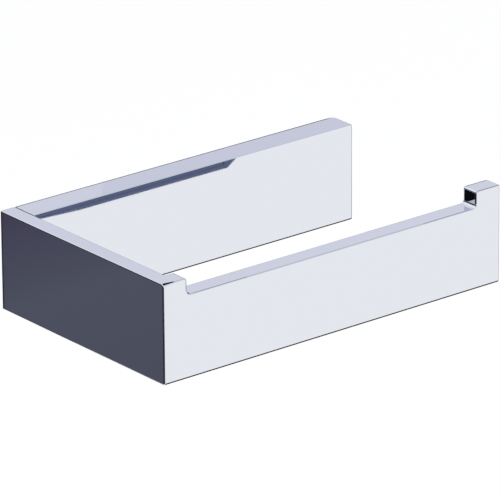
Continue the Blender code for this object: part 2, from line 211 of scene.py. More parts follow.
# Each patch of sky has a direction, the angles in degrees where it is full and where it ends, and
# a colour.
SKY_PATCHES = (
    ((-0.50, 0.30, 0.80), 28, 60, SPOT_WHITE),
    ((-0.20, -0.95, 0.10), 30, 60, SPOT_WHITE),
    ((0.58, 0.10, 0.80), 12, 38, (0.55, 0.57, 0.62)),
    ((-0.61, 0.71, 0.36), 4, 9, (0.58, 0.64, 0.76)),
    ((0.72, -0.69, 0.00), 3, 6, SPOT_BLACK),
    ((0.97, 0.20, 0.15), 14, 28, SPOT_BLACK),
    ((-0.69, 0.72, -0.05), 14, 22, SPOT_BLACK),
    ((-0.58, -0.72, 0.36), 14, 28, SPOT_BLACK),
)

# Upright cards behind the wall plane: name, y, left, right, bottom, top and tone.
UPRIGHT_CARDS = (
    ("card_back_left", 0.20, -0.45, -0.23, -0.24, 0.13, "slate"),
    ("card_back_left_outer", 0.199, -0.45, -0.34, -0.24, 0.13, "black"),
    ("card_back_left_upper", 0.20, -0.45, -0.25, 0.13, 0.30, "dark"),
    ("card_back_middle", 0.20, -0.23, -0.06, -0.24, 0.14, "black"),
    ("card_back_right", 0.35, 0.10, 0.70, -0.249, 0.14, "blue"),
    ("card_back_right_upper", 0.35, 0.23, 0.70, 0.14, 0.28, "horizon"),
)

# The upright card at the left, which faces the arm: its x, and its front, rear, bottom and top.
LEFT_CARD_X = -0.45
LEFT_CARD_EDGES = (-0.26, 0.32, -0.24, 0.28)

# Level black cards under the part, painted shade below it that its lower faces and edges mirror: name,
# left, right, front and rear.
UNDER_CARD_Z = -0.12
UNDER_CARDS = (
    ("card_under", -0.06, 0.48, -0.205, 0.10),
    ("card_under_left", -0.44, -0.24, -0.48, -0.27),
)

# A black card on the floor, a painted shadow that only mirrors see, which follows part of a ring, with
# its angles in degrees.
FLOOR_CARD_LIFT = 0.001
FLOOR_CARD_CENTRE = (-0.01, FRONT_Y)
FLOOR_CARD_RADII = (0.56, 0.72)
FLOOR_CARD_ANGLES = (198, 246)

# The shadow close behind the front bar's foot, which the back plate mirrors under its top edge.
FOOT_SHADOW_DROP = 0.0002
FOOT_SHADOW_OUTLINE = (
    (ARM_INNER_X, FRONT_REAR_Y),
    (-0.016, FRONT_REAR_Y),
    (0.002, FRONT_Y + 0.0097),
    (FREE_END_X - 0.0007, FRONT_Y + 0.0097),
    (FREE_END_X + 0.0108, FRONT_Y + 0.0020),
    (FREE_END_X + 0.0108, FRONT_Y + 0.0010),
    (FREE_END_X, FRONT_Y + 0.0040),
    (ARM_INNER_X, FRONT_Y + 0.0040),
)

# Small black cards close over the lug's corner and over the front top edges, which those edges mirror
# as painted dark lines.
# Each edge shade has a name, the height of its edge, its ends, and its reach behind the front face.
SHADE_HEIGHT = 0.0008
CORNER_SHADE_OUTLINE = (
    (ARM_OUTER_X + 0.0009, FRONT_Y - 0.0002),
    (ARM_OUTER_X + 0.0056, FRONT_Y - 0.0002),
    (ARM_OUTER_X + 0.0056, FRONT_Y + 0.0017),
    (ARM_OUTER_X + 0.0009, FRONT_Y + 0.0027),
)
EDGE_SHADES = (
    ("hook_shade", TOP_Z, 0.0630, 0.0775, 0.0002, 0.00078),
    ("saddle_right_shade", SADDLE_Z, 0.0400, 0.0640, 0.00015, 0.00061),
    ("saddle_left_shade", SADDLE_Z, -0.0690, -0.0440, 0.00015, 0.00061),
)

# Lamps: name, place, size and power.
LAMPS = (
    ("key_softbox", (-1.2, -1.3, 2.0), 2.4, 43.0),
    ("fill_softbox", (1.8, -0.8, 1.4), 2.0, 16.0),
)

# Camera, with its angles in degrees and its lens in millimetres.
CAMERA_YAW = 38.75
CAMERA_PITCH = 21.18
CAMERA_ROLL = -0.382
CAMERA_PLACE = (-1.2753, -1.6329, 0.7858)
SENSOR_WIDTH = 36.0
FOCAL_LENGTH = 420.0
CLIP_START = 0.05
CLIP_END = 50.0

# Mesh fineness, and how near counts as on a face.
ARC_STEPS = 12
ROUND_STEPS = 64
EDGE_BREAK_STEPS = 2
SHARP_ANGLE = math.radians(30)
CUT_OVERRUN = 0.0010
CLOSE = 0.00001
HALF_TURN = math.pi
QUARTER_TURN = math.pi / 2

# Textures: one fineness on all axes, and the two values that noise mostly lies between.
EVEN = (1.0, 1.0, 1.0)
NOISE_LOW = 0.3
NOISE_HIGH = 0.7


# Node materials.

def new_material(name):
    made = bpy.data.materials.new(name)
    made.use_nodes = True
    nodes, links = made.node_tree.nodes, made.node_tree.links
    return made, nodes, links, nodes["Principled BSDF"]


def noise(nodes, links, scale, detail=3.0, fineness=EVEN):
    """Noise in the object's own metres, finer along an axis whose fineness is larger."""
    coordinates = nodes.new("ShaderNodeTexCoord")
    mapping = nodes.new("ShaderNodeMapping")
    mapping.inputs["Scale"].default_value = fineness
    texture = nodes.new("ShaderNodeTexNoise")
    texture.inputs["Scale"].default_value = scale
    texture.inputs["Detail"].default_value = detail
    links.new(coordinates.outputs["Object"], mapping.inputs["Vector"])
    links.new(mapping.outputs["Vector"], texture.inputs["Vector"])
    return texture.outputs["Fac"]


def in_range(nodes, links, value, low, high, from_low=NOISE_LOW, from_high=NOISE_HIGH):
    """A texture's value mapped onto a range."""
    ranged = nodes.new("ShaderNodeMapRange")
    ranged.inputs["From Min"].default_value = from_low
    ranged.inputs["From Max"].default_value = from_high
    ranged.inputs["To Min"].default_value = low
    ranged.inputs["To Max"].default_value = high
    links.new(value, ranged.inputs["Value"])
    return ranged.outputs["Result"]


def two_colours(nodes, links, value, first, second):
    mix = nodes.new("ShaderNodeMix")
    mix.data_type = "RGBA"
    mix.inputs["A"].default_value = (*first, 1.0)
    mix.inputs["B"].default_value = (*second, 1.0)
    links.new(value, mix.inputs["Factor"])
    return mix.outputs["Result"]


def bump(nodes, links, height, distance, strength, below=None):
    made = nodes.new("ShaderNodeBump")
    made.inputs["Distance"].default_value = distance
    made.inputs["Strength"].default_value = strength
    links.new(height, made.inputs["Height"])
    if below is not None:
        links.new(below, made.inputs["Normal"])
    return made.outputs["Normal"]


def clouded(nodes, links, shader, cloud, colours, roughness):
    """Lets a surface's colour and roughness drift with one noise, each between two values."""
    links.new(two_colours(nodes, links, cloud, *colours), shader.inputs["Base Color"])
    links.new(in_range(nodes, links, cloud, *roughness), shader.inputs["Roughness"])


def polished_chrome():
    """Mirror plate: a faint haze from the buffing mop, and hairlines along the bars."""
    made, nodes, links, shader = new_material("chrome_polished")
    shader.inputs["Metallic"].default_value = 1.0
    haze = noise(nodes, links, scale=260.0)
    clouded(
        nodes, links, shader, haze,
        colours=((0.790, 0.806, 0.862), (0.803, 0.815, 0.866)),
        roughness=(0.016, 0.034),
    )
    hairlines = noise(nodes, links, scale=1.0, detail=2.0, fineness=(60.0, 60.0, 5200.0))
    normal = bump(nodes, links, hairlines, distance=0.000002, strength=0.02)
    links.new(normal, shader.inputs["Normal"])
    return made


def cast_chrome():
    """Plating over the unpolished wall of the pocket: duller, with a fine cast grain."""
    made, nodes, links, shader = new_material("chrome_over_casting")
    shader.inputs["Metallic"].default_value = 1.0
    cloud = noise(nodes, links, scale=180.0, detail=5.0)
    clouded(
        nodes, links, shader, cloud,
        colours=((0.50, 0.51, 0.53), (0.62, 0.63, 0.65)),
        roughness=(0.26, 0.44),
    )
    grain = noise(nodes, links, scale=2600.0, detail=4.0)
    normal = bump(nodes, links, grain, distance=0.00006, strength=0.35)
    links.new(normal, shader.inputs["Normal"])
    return made


def zinc_plate():
    """Bright zinc over rolled sheet: faintly spangled, with rolling lines and a soft shine."""
    made, nodes, links, shader = new_material("zinc_plated_steel")
    shader.inputs["Metallic"].default_value = 1.0
    spangle = noise(nodes, links, scale=620.0)
    clouded(
        nodes, links, shader, spangle,
        colours=((0.60, 0.62, 0.65), (0.69, 0.69, 0.67)),
        roughness=(0.27, 0.37),
    )
    rolling = noise(nodes, links, scale=1.0, detail=4.0, fineness=(30.0, 2400.0, 2400.0))
    lines = bump(nodes, links, rolling, distance=0.00002, strength=0.45)
    pits = noise(nodes, links, scale=3800.0)
    normal = bump(nodes, links, pits, distance=0.00002, strength=0.12, below=lines)
    links.new(normal, shader.inputs["Normal"])
    return made


def stainless_steel():
    """Stainless with a fine tooled texture and a soft shine."""
    made, nodes, links, shader = new_material("stainless_steel")
    shader.inputs["Metallic"].default_value = 1.0
    shade = noise(nodes, links, scale=700.0, detail=4.0)
    clouded(
        nodes, links, shader, shade,
        colours=((0.50, 0.51, 0.52), (0.61, 0.62, 0.62)),
        roughness=(0.17, 0.33),
    )
    tooling = noise(nodes, links, scale=5200.0)
    normal = bump(nodes, links, tooling, distance=0.00001, strength=0.3)
    links.new(normal, shader.inputs["Normal"])
    return made


def grey_nylon():
    """Moulded nylon: a slightly waxy grey with flow marks and a fine mould texture."""
    made, nodes, links, shader = new_material("grey_nylon")
    flow = noise(nodes, links, scale=240.0, detail=4.0, fineness=(1.0, 0.25, 1.0))
    clouded(
        nodes, links, shader, flow,
        colours=((0.47, 0.48, 0.49), (0.56, 0.57, 0.58)),
        roughness=(0.42, 0.58),
    )
    shader.inputs["Subsurface Weight"].default_value = 0.12
    shader.inputs["Subsurface Radius"].default_value = (0.0008, 0.0008, 0.0008)
    grain = noise(nodes, links, scale=3000.0)
    normal = bump(nodes, links, grain, distance=0.00003, strength=0.3)
    links.new(normal, shader.inputs["Normal"])
    return made


# Mesh tools.

def arc(centre, radius, start, end, steps=ARC_STEPS):
    """Points along an arc, both ends included."""
    points = []
    for step in range(steps + 1):
        angle = start + (end - start) * step / steps
        points.append((centre[0] + radius * math.cos(angle), centre[1] + radius * math.sin(angle)))
    return points


def along_x(u, v, w):
    return (w, u, v)


def along_y(u, v, w):
    return (u, w, v)


def along_z(u, v, w):
    return (u, v, w)


def prism(outline, place, low, high):
    """A closed solid: an outline swept from low to high, where place(u, v, w) gives a point."""
    bm = bmesh.new()
    first = [bm.verts.new(place(u, v, low)) for u, v in outline]
    last = [bm.verts.new(place(u, v, high)) for u, v in outline]
    bm.faces.new(first[::-1])
    bm.faces.new(last)
    for index in range(len(outline)):
        after = (index + 1) % len(outline)
        bm.faces.new((first[index], first[after], last[after], last[index]))
    bmesh.ops.recalc_face_normals(bm, faces=bm.faces[:])
    return bm


def polygon(count, radius):
    turn = 2 * HALF_TURN / count
    return [(radius * math.cos(turn * k), radius * math.sin(turn * k)) for k in range(count)]


def hexagon(across):
    return polygon(6, across / math.sqrt(3))


def rectangle(left, right, front, rear):
    return [(left, front), (right, front), (right, rear), (left, rear)]


def rounded_rectangle(half_u, half_v, radius):
    points = []
    for turn, (sign_u, sign_v) in enumerate(((1, 1), (-1, 1), (-1, -1), (1, -1))):
        centre = (sign_u * (half_u - radius), sign_v * (half_v - radius))
        points += arc(centre, radius, turn * QUARTER_TURN, (turn + 1) * QUARTER_TURN)
    return points


def slot_outline(radius, travel):
    """A slot's outline, whose two centres lie travel apart. Without travel it is a round hole."""
    if travel == 0:
        return polygon(ROUND_STEPS, radius)
    steps = ROUND_STEPS // 2
    right = arc((travel / 2, 0.0), radius, -QUARTER_TURN, QUARTER_TURN, steps)
    left = arc((-travel / 2, 0.0), radius, QUARTER_TURN, 3 * QUARTER_TURN, steps)
    return right + left


def plain_ring(radius, z, steps):
    return [(x, y, z) for x, y in polygon(steps, radius)]


def solid_from_rings(rings):
    """A closed solid through rings of points that all have the same count."""
    bm = bmesh.new()
    rings = [[bm.verts.new(point) for point in ring] for ring in rings]
    steps = len(rings[0])
    for ring, following in zip(rings, rings[1:]):
        for k in range(steps):
            after = (k + 1) % steps
            bm.faces.new((ring[k], ring[after], following[after], following[k]))
    bm.faces.new(rings[0])
    bm.faces.new(rings[-1])
    bmesh.ops.recalc_face_normals(bm, faces=bm.faces[:])
    return bm


def moved(bm, at, axis="Z"):
    """Turns a solid's Z axis onto the named axis and moves it to a point."""
    turns = {
        "Z": Matrix.Identity(4),
        "-Z": Matrix.Rotation(HALF_TURN, 4, "X"),
        "-X": Matrix.Rotation(-QUARTER_TURN, 4, "Y"),
        "Y": Matrix.Rotation(-QUARTER_TURN, 4, "X"),
    }
    bmesh.ops.transform(bm, matrix=Matrix.Translation(at) @ turns[axis], verts=bm.verts[:])
    return bm


def rounded(bm, radius_of):
    """Rounds each sharp edge by radius_of(start, end), and gives the rounded solid."""
    weights = bm.edges.layers.float.new("bevel_weight_edge")
    for edge in bm.edges:
        if edge.calc_face_angle(0.0) > SHARP_ANGLE:
            start, end = (vert.co for vert in edge.verts)
            edge[weights] = radius_of(start, end) / WIDEST_RADIUS
    blank = mesh_object("blank", bm)
    bevel = blank.modifiers.new("rounding", "BEVEL")
    bevel.width = WIDEST_RADIUS
    bevel.segments = EDGE_STEPS
    bevel.limit_method = "WEIGHT"
    bevel.use_clamp_overlap = False
    made = bmesh.new()
    made.from_mesh(applied(blank))
    bpy.data.objects.remove(blank)
    return made


def mesh_object(name, bm, *surfaces):
    """An object from a solid, with its surfaces in the order of the faces' material index."""
    bmesh.ops.recalc_face_normals(bm, faces=bm.faces[:])
    mesh = bpy.data.meshes.new(name)
    bm.to_mesh(mesh)
    bm.free()
    for surface in surfaces:
        mesh.materials.append(surface)
    mesh.shade_smooth()
    made = bpy.data.objects.new(name, mesh)
    bpy.context.scene.collection.objects.link(made)
    return made


def cutter(name, bm, surfaces=(), surface_index=0):
    """A cutting solid, whose faces carry the surface that the cut gets."""
    for face in bm.faces:
        face.material_index = surface_index
    made = mesh_object(name, bm, *surfaces)
    made.hide_render = True
    return made


def drill(name, radius, depth, at, axis, surfaces):
    """A round drill that starts just outside a face and goes in by depth."""
    bm = prism(polygon(ROUND_STEPS, radius), along_z, -CUT_OVERRUN, depth)
    return cutter(name, moved(bm, at, axis), surfaces, 1)


def applied(piece):
    """The mesh of a piece with its modifiers applied."""
    bpy.context.view_layer.update()
    graph = bpy.context.evaluated_depsgraph_get()
    shown = piece.evaluated_get(graph)
    return bpy.data.meshes.new_from_object(shown, preserve_all_data_layers=True, depsgraph=graph)


def bake_modifiers(piece):
    made = applied(piece)
    piece.modifiers.clear()
    piece.data = made


def finished(piece, node, cutters=(), edge=0.0):
    """Applies the cuts and a small edge break, evens the normals, and ties the piece to the frame."""
    for tool in cutters:
        boolean = piece.modifiers.new(tool.name, "BOOLEAN")
        boolean.operation = "DIFFERENCE"
        boolean.solver = "EXACT"
        boolean.material_mode = "INDEX"
        boolean.object = tool
    if edge:
        bevel = piece.modifiers.new("edge_break", "BEVEL")
        bevel.width = edge
        bevel.segments = EDGE_BREAK_STEPS
        bevel.limit_method = "ANGLE"
        bevel.angle_limit = SHARP_ANGLE
        bevel.use_clamp_overlap = True
    bake_modifiers(piece)
    for tool in cutters:
        bpy.data.objects.remove(tool)
    piece.data.set_sharp_from_angle(angle=SHARP_ANGLE)
    normals = piece.modifiers.new("even_normals", "WEIGHTED_NORMAL")
    normals.weight = 100
    normals.keep_sharp = True
    bake_modifiers(piece)
    piece.data.name = piece.name
    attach(piece, "root")
    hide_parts(node)


def centre_of(node):
    low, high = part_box(node)
    return (low + high) / 2


# Polished bars.

def front_outline():
    """The front bar's face as (x, z) points, anticlockwise from its bottom left corner."""
    hook_lip, hook_floor = HOOK_LIP_RADIUS, HOOK_FLOOR_RADIUS
    lug_lip, lug_floor = LUG_LIP_RADIUS, LUG_FLOOR_RADIUS
    quarter = QUARTER_TURN
    points = [(ARM_OUTER_X, BOTTOM_Z), (FREE_END_X, BOTTOM_Z), (FREE_END_X, TOP_Z)]
    points += arc((SADDLE_RIGHT_X + hook_lip, TOP_Z - hook_lip), hook_lip, quarter, 2 * quarter)
    points += arc((SADDLE_RIGHT_X - hook_floor, SADDLE_Z + hook_floor), hook_floor, 0.0, -quarter)
    points += arc((SADDLE_LEFT_X + lug_floor, SADDLE_Z + lug_floor), lug_floor, -quarter, -2 * quarter)
    points += arc((SADDLE_LEFT_X - lug_lip, TOP_Z - lug_lip), lug_lip, 0.0, quarter)
    points.append((ARM_OUTER_X, TOP_Z))
    return points


def bar_edge_radius(start, end):
    """How far an edge of the arm or the front bar is rounded.

    The front corner, the lower front edge and the free end's rear edge are rounder than the rest, and
    the hook's rear top edge is nearly sharp. The top front edge grows rounder towards the corner. The
    saddle's edges are rounder along its two walls, and less so in the fillets.
    """
    middle = (start + end) / 2
    upright = abs(start.z - end.z) > LEAST_UPRIGHT_LENGTH
    in_front = middle.y < FRONT_Y + CLOSE
    at_rear = middle.y > FRONT_REAR_Y - CLOSE
    on_top = middle.z > TOP_Z - CLOSE
    if upright and in_front and middle.x < 0:
        return CORNER_RADIUS
    if in_front and middle.z < BOTTOM_Z + CLOSE:
        return BAR_LOWER_RADIUS
    if at_rear and on_top and middle.x > SADDLE_RIGHT_X:
        return REAR_EDGE_RADIUS
    if in_front and on_top and middle.x < ARM_OUTER_X + LUG_CORNER_REACH:
        share = 1.0 - (middle.x - ARM_OUTER_X) / LUG_CORNER_REACH
        return EDGE_RADIUS + (LUG_CORNER_RADIUS - EDGE_RADIUS) * share
    if upright and at_rear and middle.x > FREE_END_X - CLOSE:
        return HOOK_CORNER_RADIUS
    if SADDLE_LEFT_X - LUG_LIP_RADIUS < middle.x < SADDLE_RIGHT_X + HOOK_LIP_RADIUS:
        depth = TOP_Z - middle.z
        lip = LUG_LIP_RADIUS if middle.x < 0 else HOOK_LIP_RADIUS
        floor = LUG_FLOOR_RADIUS if middle.x < 0 else HOOK_FLOOR_RADIUS
        if depth < SADDLE_DEPTH + CLOSE:
            share = min(1.0, depth / lip, (SADDLE_DEPTH - depth) / floor)
            return EDGE_RADIUS + (SADDLE_EDGE_RADIUS - EDGE_RADIUS) * share
    return EDGE_RADIUS


def plate_edge_radius(start, end):
    """How far an edge of the back plate is rounded.

    Its left end and its two long top edges are nearly sharp, and its lower front edge is the roundest.
    """
    middle = (start + end) / 2
    in_front = middle.y < PLATE_FRONT_Y + CLOSE
    on_top = middle.z > TOP_Z - CLOSE
    if middle.x < PLATE_LEFT_X + CLOSE:
        return SEAM_EDGE_RADIUS
    if in_front and on_top:
        return PLATE_UPPER_RADIUS
    if in_front and middle.z < BOTTOM_Z + CLOSE:
        return PLATE_LOWER_RADIUS
    if middle.y > -CLOSE and on_top:
        return REAR_EDGE_RADIUS
    return EDGE_RADIUS


def rolled_off(bm, rear_y, left_x):
    """Lowers the top faces right of left_x towards their rear edge, as a buffing wheel leaves them."""
    start_y = rear_y - ROLL_OFF_REACH
    for step in range(ROLL_OFF_STEPS):
        place = start_y + ROLL_OFF_REACH * step / ROLL_OFF_STEPS
        faces = [face for face in bm.faces if face.calc_center_median().x > left_x]
        parts = list({part for face in faces for part in (*face.verts, *face.edges)}) + faces
        bmesh.ops.bisect_plane(bm, geom=parts, plane_co=(0.0, place, 0.0), plane_no=(0.0, 1.0, 0.0))
    for vert in bm.verts:
        share = (vert.co.y - start_y) / ROLL_OFF_REACH
        height = 1.0 - (TOP_Z - vert.co.z) / ROLL_OFF_HEIGHT
        if share > 0.0 and height > 0.0 and vert.co.x > left_x:
            vert.co.z -= ROLL_OFF_DROP * share ** ROLL_OFF_POWER * height
    return bm


def arm_and_front():
    """The arm and the front bar as one L with its edges rounded, which the mitre then parts.

    The corner vertices split the top front edge near the corner, where its radius changes.
    """
    outline = front_outline()
    bm = bmesh.new()
    front = [bm.verts.new((x, FRONT_Y, z)) for x, z in outline]
    rear = [bm.verts.new((max(x, ARM_INNER_X), FRONT_REAR_Y, z)) for x, z in outline]
    reaches = [LUG_CORNER_REACH * (1 - part / LUG_CORNER_PARTS) for part in range(LUG_CORNER_PARTS)]
    corner = [bm.verts.new((ARM_OUTER_X + reach, FRONT_Y, TOP_Z)) for reach in reaches]
    outer_low, outer_high, inner_low, inner_high = [
        bm.verts.new((x, 0.0, z)) for x in (ARM_OUTER_X, ARM_INNER_X) for z in (BOTTOM_Z, TOP_Z)
    ]
    bm.faces.new(front[:-1] + corner + front[-1:])
    bm.faces.new(rear[::-1])
    for index in range(1, len(outline) - 2):
        bm.faces.new((front[index], rear[index], rear[index + 1], front[index + 1]))
    bm.faces.new((front[0], outer_low, inner_low, rear[0], rear[1], front[1]))
    bm.faces.new((front[-2], rear[-2], rear[-1], inner_high, outer_high, front[-1], *corner[::-1]))
    bm.faces.new((front[-1], outer_high, outer_low, front[0]))
    bm.faces.new((rear[0], inner_low, inner_high, rear[-1]))
    bm.faces.new((inner_low, outer_low, outer_high, inner_high))
    bmesh.ops.recalc_face_normals(bm, faces=bm.faces[:])
    return rolled_off(rounded(bm, bar_edge_radius), FRONT_REAR_Y, SADDLE_RIGHT_X)


def mitred(bm, keep_front):
    """Keeps the part of the L on one side of the mitre, half the joint's gap away from it."""
    across_mitre = Vector((FRONT_THICKNESS, -ARM_THICKNESS, 0.0)).normalized()
    side = 1 if keep_front else -1
    corner = Vector((ARM_OUTER_X, FRONT_Y, 0.0)) + across_mitre * side * MITRE_GAP / 2
    bmesh.ops.bisect_plane(
        bm,
        geom=bm.verts[:] + bm.edges[:] + bm.faces[:],
        plane_co=corner,
        plane_no=across_mitre,
        clear_inner=keep_front,
        clear_outer=not keep_front,
    )
    bmesh.ops.holes_fill(bm, edges=[edge for edge in bm.edges if edge.is_boundary])
    return bm


def make_bars(chrome, inside):
    """The arm with its two screw holes, and the front bar, parted at the mitre."""
    surfaces = (chrome, inside)
    arm = mesh_object("side_arm_bar", mitred(arm_and_front(), False), *surfaces)
    holes = []
    for name in ARM_SCREWS:
        middle = centre_of(name)
        depth = ARM_INNER_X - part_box(name)[0].x + 2 * THREAD_GAP
        at = (ARM_INNER_X, middle.y, middle.z)
        holes.append(drill(f"{name}_hole", ARM_SCREW_RADIUS + THREAD_GAP, depth, at, "-X", surfaces))
    finished(arm, "side_arm", holes)
    front = mesh_object("front_bar_with_saddle", mitred(arm_and_front(), True), *surfaces)
    finished(front, "front_bar")


def plate_body():
    """The back plate's rounded body, whose free end turns back to the wall in an arc."""
    radius = PLATE_END_RADIUS
    outline = [(PLATE_LEFT_X, 0.0), (PLATE_LEFT_X, PLATE_FRONT_Y), (FREE_END_X, PLATE_FRONT_Y)]
    outline += arc((FREE_END_X - radius, -radius), radius, 0.0, QUARTER_TURN)
    body = rounded(prism(outline, along_z, BOTTOM_Z, TOP_Z), plate_edge_radius)
    return rolled_off(body, 0.0, PLATE_LEFT_X)


def make_back_plate(chrome, inside):
    """The plate's body with its pocket, screw holes and broken edges."""
    surfaces = (chrome, inside)
    plate = mesh_object("back_plate_body", plate_body(), *surfaces)
    length = POCKET_RIGHT_X - POCKET_LEFT_X
    opening = rounded_rectangle(length / 2, POCKET_TOP_Z, POCKET_CORNER_RADIUS)
    pocket = prism(opening, along_y, POCKET_FRONT_Y, CUT_OVERRUN)
    moved(pocket, ((POCKET_LEFT_X + POCKET_RIGHT_X) / 2, 0.0, 0.0))
    cuts = [cutter("pocket_cut", pocket, surfaces, 1)]
    for name in ARM_SCREWS:
        middle = centre_of(name)
        at = (POCKET_LEFT_X, middle.y, middle.z)
        depth = ARM_END_WALL + CUT_OVERRUN
        cuts.append(drill(f"{name}_way", ARM_SCREW_RADIUS + THREAD_GAP, depth, at, "-X", surfaces))
    for name in GRUB_SCREWS:
        middle = centre_of(name)
        at = (middle.x, middle.y, -POCKET_TOP_Z)
        depth = RIM_WALL + CUT_OVERRUN
        cuts.append(drill(f"{name}_way", GRUB_RADIUS + THREAD_GAP, depth, at, "-Z", surfaces))
    finished(plate, "back_plate", cuts, POCKET_EDGE)


# Folded wall bracket.

def bracket_section():
    """The channel's section as (y, z) points: web against the wall, flanges towards the room."""
    outer = BEND_RADIUS + SHEET
    inner = BEND_RADIUS
    depth, top = BRACKET_LOW.y, BRACKET_HIGH.z
    points = [(depth, -top)]
    points += arc((-outer, -top + outer), outer, -QUARTER_TURN, 0.0)
    points += arc((-outer, top - outer), outer, 0.0, QUARTER_TURN)
    points += [(depth, top), (depth, top - SHEET)]
    points += arc((-outer, top - outer), inner, QUARTER_TURN, 0.0)
    points += arc((-outer, -top + outer), inner, 0.0, -QUARTER_TURN)
    points.append((depth, -top + SHEET))
    return points


def make_wall_bracket(zinc):
    """The channel with a round hole at the left and a level slot at the right."""
    channel = prism(bracket_section(), along_x, BRACKET_LOW.x, BRACKET_HIGH.x)
    bracket = mesh_object("wall_bracket_channel", channel, zinc)
    cuts = []
    for name, travel in (("wall_screw_left", 0.0), ("wall_screw_right", WALL_SLOT_TRAVEL)):
        outline = slot_outline(WALL_HOLE_RADIUS, travel)
        slot = prism(outline, along_y, -SHEET - CUT_OVERRUN, CUT_OVERRUN)
        moved(slot, (centre_of(name).x, 0.0, 0.0))
        cuts.append(cutter(f"{name}_slot", slot, (zinc,)))
    finished(bracket, "wall_bracket", cuts, SHEARED_EDGE)


# Screws and plugs.

def machine_thread(radius):
    """The fine thread of a machine screw, from its outer radius."""
    return Thread(
        crest=radius,
        root=radius - MACHINE_PITCH * MACHINE_THREAD_DEPTH_SHARE,
        pitch=MACHINE_PITCH,
        rows_per_pitch=12,
        flat_share=0.06,
        lead_in=MACHINE_PITCH / 2,
    )


def thread_radius(thread, z, turn, fade):
    """The thread's radius at a height and a share of a turn, lowered towards its root by fade."""
    phase = (z / thread.pitch - turn) % 1.0
    height = 1.0 - abs(2.0 * phase - 1.0)
    height = min(1.0, max(0.0, (height - thread.flat_share) / (1.0 - 2.0 * thread.flat_share)))
    return thread.root + (thread.crest - thread.root) * height * max(0.0, fade)


def threaded(thread, start, end, steps):
    """Rings of a helical thread about Z, from start to end, that fades in and out."""
    rings = []
    rows = max(2, round((end - start) / thread.pitch * thread.rows_per_pitch))
    for row in range(rows + 1):
        z = start + (end - start) * row / rows
        fade = min(1.0, (z - start) / thread.lead_in, (end - z) / thread.lead_in)
        ring = []
        for k in range(steps):
            angle = 2 * HALF_TURN * k / steps
            radius = thread_radius(thread, z, k / steps, fade)
            ring.append((radius * math.cos(angle), radius * math.sin(angle), z))
        rings.append(ring)
    return rings


def wall_screw_rings(head_radius, length):
    """A wood screw along Z from its crowned head to its point, with its head's bearing face at 0."""
    steps = ROUND_STEPS
    crown = WALL_SCREW_HEAD_HEIGHT / 2
    centre = (head_radius - crown, -crown)
    profile = arc(centre, crown, -QUARTER_TURN, 0.0, WALL_SCREW_CROWN_STEPS)
    neck_radius = WALL_SCREW_RADIUS * WALL_SCREW_NECK_SHARE
    profile += [
        (head_radius, -SMALL_EDGE),
        (head_radius - SMALL_EDGE, 0.0),
        (neck_radius, 0.0),
        (neck_radius, WALL_SCREW_NECK_LENGTH - SMALL_EDGE),
    ]
    rings = [plain_ring(radius, z, steps) for radius, z in profile]
    for ring in threaded(WALL_THREAD, WALL_SCREW_NECK_LENGTH, length, steps):
        to_point = (length - ring[0][2]) / WALL_SCREW_TIP
        taper = min(1.0, max(WALL_SCREW_LEAST_TIP_SHARE, to_point))
        rings.append([(x * taper, y * taper, z) for x, y, z in ring])
    return rings


def cross_outline(span, width):
    """The outline of a cross recess, from its overall span and the width of its arms."""
    reach, half = span / 2, width / 2
    return [
        (reach, -half), (reach, half), (half, half), (half, reach),
        (-half, reach), (-half, half), (-reach, half), (-reach, -half),
        (-half, -half), (-half, -reach), (half, -reach), (half, -half),
    ]


def make_wall_screw(name, zinc):
    """A pan head wood screw: crossed recess, short plain neck, coarse thread and point."""
    low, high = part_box(name)
    x = centre_of(name).x
    bearing = low.y + WALL_SCREW_HEAD_HEIGHT
    rings = wall_screw_rings((high.x - low.x) / 2, high.y - bearing)
    bm = moved(solid_from_rings(rings), (x, bearing, 0.0), "Y")
    screw = mesh_object(f"{name}_threaded", bm, zinc)
    cross = cross_outline(CROSS_RECESS_SPAN, CROSS_RECESS_WIDTH)
    recess = prism(cross, along_y, low.y - CUT_OVERRUN, low.y + CROSS_RECESS_DEPTH)
    cut = cutter(f"{name}_recess", moved(recess, (x, 0.0, 0.0)), (zinc,))
    finished(screw, name, [cut])


def plug_profile(body, length):
    """A plug's (radius, z) points: a collar, then ribs that point back towards it."""
    points = [(body - SMALL_EDGE, 0.0), (body, SMALL_EDGE), (body, PLUG_COLLAR_LENGTH)]
    ribs = round((length - PLUG_COLLAR_LENGTH) / PLUG_RIB_PITCH)
    for rib in range(ribs):
        start = PLUG_COLLAR_LENGTH + rib * PLUG_RIB_PITCH
        points.append((PLUG_ROOT_RADIUS, start + SMALL_EDGE))
        points.append((PLUG_ROOT_RADIUS, start + PLUG_RIB_PITCH * PLUG_RIB_FLAT_SHARE))
        points.append((body, start + PLUG_RIB_PITCH - SMALL_EDGE))
    points.append((PLUG_ROOT_RADIUS, length))
    return points


def make_wall_plug(name, nylon):
    """A ribbed nylon plug with a collar, split lengthwise so that the screw spreads it."""
    low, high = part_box(name)
    x = centre_of(name).x
    body = (high.x - low.x) / 2
    length = high.y - low.y
    rings = [plain_ring(radius, z, ROUND_STEPS) for radius, z in plug_profile(body, length)]
    bm = moved(solid_from_rings(rings), (x, low.y, 0.0), "Y")
    plug = mesh_object(f"{name}_ribbed", bm, nylon)
    circle = polygon(ROUND_STEPS, WALL_SCREW_RADIUS + THREAD_GAP)
    bore = prism(circle, along_z, -CUT_OVERRUN, length + CUT_OVERRUN)
    width, reach = PLUG_SLOT_WIDTH / 2, body + CUT_OVERRUN
    gap = rectangle(-width, width, -reach, reach)
    split = prism(gap, along_y, high.y - PLUG_SLOT_LENGTH, high.y + CUT_OVERRUN)
    cuts = [
        cutter(f"{name}_bore", moved(bore, (x, low.y, 0.0), "Y"), (nylon,)),
        cutter(f"{name}_split", moved(split, (x, 0.0, 0.0)), (nylon,)),
    ]
    finished(plug, name, cuts)


